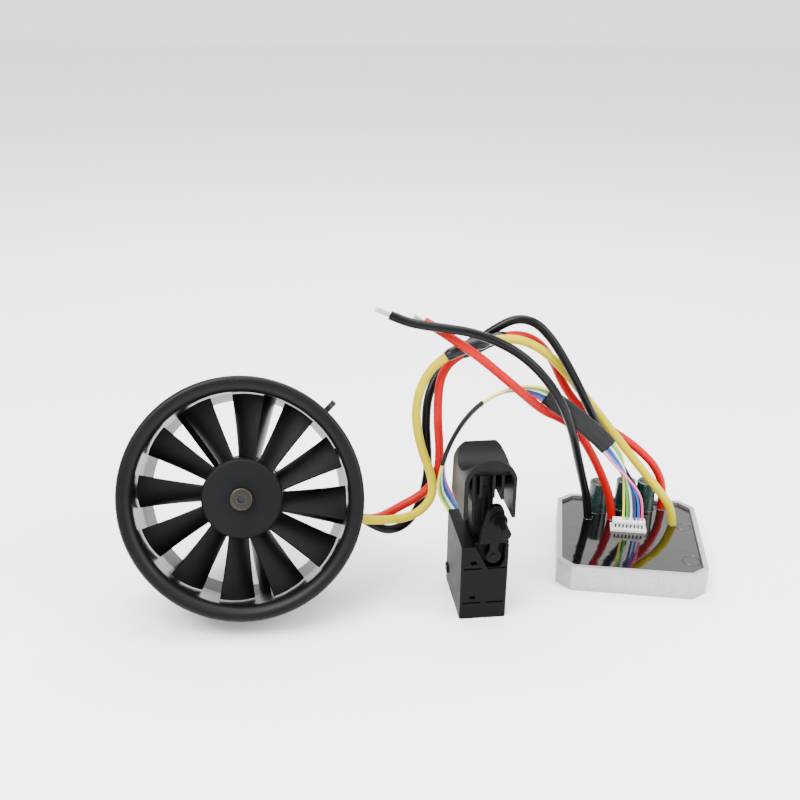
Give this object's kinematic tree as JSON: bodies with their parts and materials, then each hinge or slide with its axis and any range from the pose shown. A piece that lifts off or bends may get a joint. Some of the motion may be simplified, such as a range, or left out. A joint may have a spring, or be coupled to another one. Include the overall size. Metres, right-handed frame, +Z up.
{
  "type": "ducted fan power set",
  "caption": "Electric ducted fan standing on edge and leaning back, a trigger switch with a direction lever and a potted motor controller in an aluminium tray, joined by silicone and ribbon leads.",
  "frame": {"origin": "on the bench, at the middle of the outline of the fan, switch and controller, leads left out", "axes": "+Z up, -Y the side that the fan's intake and the switch's lever face, +X from the fan towards the controller"},
  "size_m": [0.224, 0.0974, 0.1051],
  "materials": {
    "black_nylon": "satin black glass-filled nylon, inlet ring glossier",
    "rotor_plastic": "matt black moulded nylon",
    "duct_screw_steel": "black oxide",
    "grommet_rubber": "matt",
    "adapter_aluminium": "turned",
    "screw_steel": "machined",
    "shaft_steel": "ground",
    "motor_metal": "dark anodised",
    "magnet": "nickel",
    "core_steel": "laminated",
    "winding_copper": "enamelled",
    "silicone_red": "satin silicone",
    "silicone_yellow": "satin silicone",
    "silicone_black": "satin silicone",
    "shrink_black": "glossy shrink sleeve",
    "shrink_flat": "satin shrink sleeve",
    "tinned_copper": "tinned strands",
    "signal_yellow": "satin",
    "signal_green": "satin",
    "signal_white": "satin",
    "signal_navy": "satin",
    "signal_blue": "satin",
    "signal_pink": "satin",
    "switch_plastic": "satin moulded",
    "hood_plastic": "satin moulded",
    "plunger_plastic": "acetal",
    "contact_brass": "bare",
    "spring_steel": "drawn",
    "board": "fibreglass board",
    "tray_aluminium": "sand textured",
    "board_screw_steel": "zinc",
    "chip_epoxy": "matt",
    "capacitor_sleeve": "printed sleeve",
    "connector_white": "moulded nylon",
    "potting_resin": "glossy potting"
  },
  "bodies": {
    "base": {"battery_lead_black": "silicone_black", "battery_lead_red": "silicone_red", "battery_tip_black": "tinned_copper", "battery_tip_red": "tinned_copper", "board_screws": "board_screw_steel", "capacitors": "capacitor_sleeve", "circuit_board": "board", "connector_header": "connector_white", "connector_pins": "contact_brass", "connector_plug": "connector_white", "contact_board": "board", "contact_terminals": "contact_brass", "control_chips": "chip_epoxy", "duct_screws": "duct_screw_steel", "heat_tray": "tray_aluminium", "inlet_ring": "black_nylon", "lever_pin": "screw_steel", "motor_bearings": "shaft_steel", "motor_can": "motor_metal", "motor_cup": "black_nylon", "motor_end_cap": "motor_metal", "motor_leads": "silicone_black", "motor_screws": "screw_steel", "motor_windings": "winding_copper", "phase_sleeve_black": "shrink_black", "phase_sleeve_red": "shrink_black", "phase_sleeve_yellow": "shrink_black", "phase_wire_black": "silicone_black", "phase_wire_red": "silicone_red", "phase_wire_yellow": "silicone_yellow", "potting": "potting_resin", "power_transistors": "chip_epoxy", "return_spring": "spring_steel", "rotor_shroud": "black_nylon", "signal_sleeve_thin": "shrink_flat", "signal_sleeve_wide": "shrink_flat", "signal_wire_blue": "signal_blue", "signal_wire_green": "signal_green", "signal_wire_navy": "signal_navy", "signal_wire_pink": "signal_pink", "signal_wire_white": "signal_white", "signal_wire_yellow": "signal_yellow", "stator_core": "core_steel", "stator_housing": "black_nylon", "stator_vanes": "black_nylon", "switch_shell_left": "switch_plastic", "switch_shell_right": "switch_plastic", "wire_grommet": "grommet_rubber"},
    "rotor": {"fan_rotor": "rotor_plastic", "rotor_nut": "adapter_aluminium", "rotor_screw": "screw_steel", "shaft_adapter": "adapter_aluminium", "motor_shaft": "shaft_steel", "motor_magnet": "magnet"},
    "trigger": {"trigger_hood": "hood_plastic", "trigger_plunger": "plunger_plastic", "wiper_contact": "contact_brass"},
    "lever": {"direction_lever": "switch_plastic"}
  },
  "joints": [
    {"name": "rotor_spin", "type": "hinge", "parent": "base", "child": "rotor", "pos_m": [-0.06738, -0.0309, 0.0471], "axis": [0.0868, -0.9178, 0.3875], "continuous": true},
    {"name": "trigger_press", "type": "slide", "parent": "base", "child": "trigger", "axis": [0, 0, -1], "range_m": [0, 0.005], "stiffness_N_per_m": 300, "springref_m": -0.005, "deforming": ["return_spring"]},
    {"name": "lever_throw", "type": "hinge", "parent": "base", "child": "lever", "pos_m": [0.02173, -0.03198, 0.0255], "axis": [-0.1298, 0.9915, 0], "range_deg": [-10, 4]}
  ]
}
